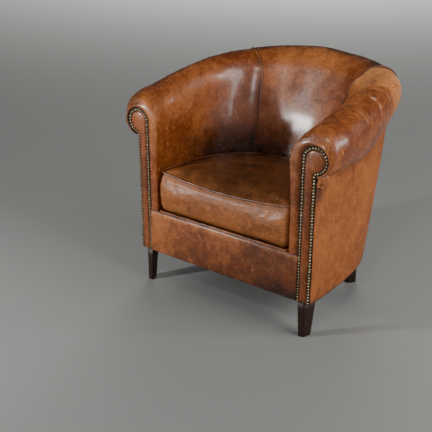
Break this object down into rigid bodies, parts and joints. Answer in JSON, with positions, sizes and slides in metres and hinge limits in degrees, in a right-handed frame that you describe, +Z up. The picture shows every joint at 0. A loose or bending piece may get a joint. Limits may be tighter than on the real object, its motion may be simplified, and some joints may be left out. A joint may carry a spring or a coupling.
{
  "type": "club chair",
  "caption": "Worn brown leather club chair: a low horseshoe tub with a thick roll round its arms and back, nailed keyhole facings, a loose seat cushion and short wooden legs.",
  "frame": {"origin": "on the floor, under the middle of the chair's bounding box", "axes": "+X across the chair, to the right as seen from the front; -Y is the way the sitter faces; +Z up"},
  "size_m": [0.8, 0.653, 0.7583],
  "materials": {
    "arm_leather": "glossy, mottled, worn",
    "worn_leather": "satin, rubbed pale, faint streaks",
    "facing_leather": "glossy, padded",
    "seat_leather": "worn, half dull",
    "welt_leather": "half gloss, rubbed",
    "nail_brass": "aged, dark in the hollows",
    "leg_wood": "dark stain, half gloss",
    "frame_wood": "bare hardwood",
    "webbing": "plain woven jute",
    "stuffing": "felted fibre",
    "dust_cloth": "thin black cloth"
  },
  "bodies": {
    "root": {"right_seat_rail": "frame_wood", "left_seat_rail": "frame_wood", "back_seat_rail": "frame_wood", "front_seat_rail": "frame_wood", "right_front_corner_block": "frame_wood", "left_front_corner_block": "frame_wood", "right_rear_corner_block": "frame_wood", "left_rear_corner_block": "frame_wood", "right_arm_top_rail": "frame_wood", "left_arm_top_rail": "frame_wood", "back_top_rail": "frame_wood", "right_arm_post": "frame_wood", "left_arm_post": "frame_wood", "right_back_post": "frame_wood", "left_back_post": "frame_wood", "right_inside_arm_lining": "webbing", "left_inside_arm_lining": "webbing", "inside_back_lining": "webbing", "right_inside_arm_padding": "stuffing", "left_inside_arm_padding": "stuffing", "inside_back_padding": "stuffing", "right_inside_arm_cover": "arm_leather", "left_inside_arm_cover": "arm_leather", "inside_back_cover": "arm_leather", "right_inside_seam_welt": "welt_leather", "left_inside_seam_welt": "welt_leather", "right_outside_arm_cover": "worn_leather", "left_outside_arm_cover": "worn_leather", "outside_back_cover": "worn_leather", "right_outside_arm_backing": "webbing", "left_outside_arm_backing": "webbing", "outside_back_backing": "webbing", "right_outside_seam_welt": "welt_leather", "left_outside_seam_welt": "welt_leather", "right_facing_board": "frame_wood", "left_facing_board": "frame_wood", "right_facing_panel": "facing_leather", "left_facing_panel": "facing_leather", "right_nailed_trim": "nail_brass", "left_nailed_trim": "nail_brass", "front_border_cover": "arm_leather", "front_border_welt": "welt_leather", "seat_strap_front_back_1": "webbing", "seat_strap_front_back_2": "webbing", "seat_strap_front_back_3": "webbing", "seat_strap_side_1": "webbing", "seat_strap_side_2": "webbing", "seat_strap_side_3": "webbing", "seat_stuffing": "stuffing", "seat_platform_cover": "seat_leather", "seat_cushion": "seat_leather", "seat_cushion_top_welt": "welt_leather", "seat_cushion_bottom_welt": "welt_leather", "right_front_leg": "leg_wood", "left_front_leg": "leg_wood", "right_rear_leg": "leg_wood", "left_rear_leg": "leg_wood", "dust_cloth": "dust_cloth"}
  },
  "joints": []
}
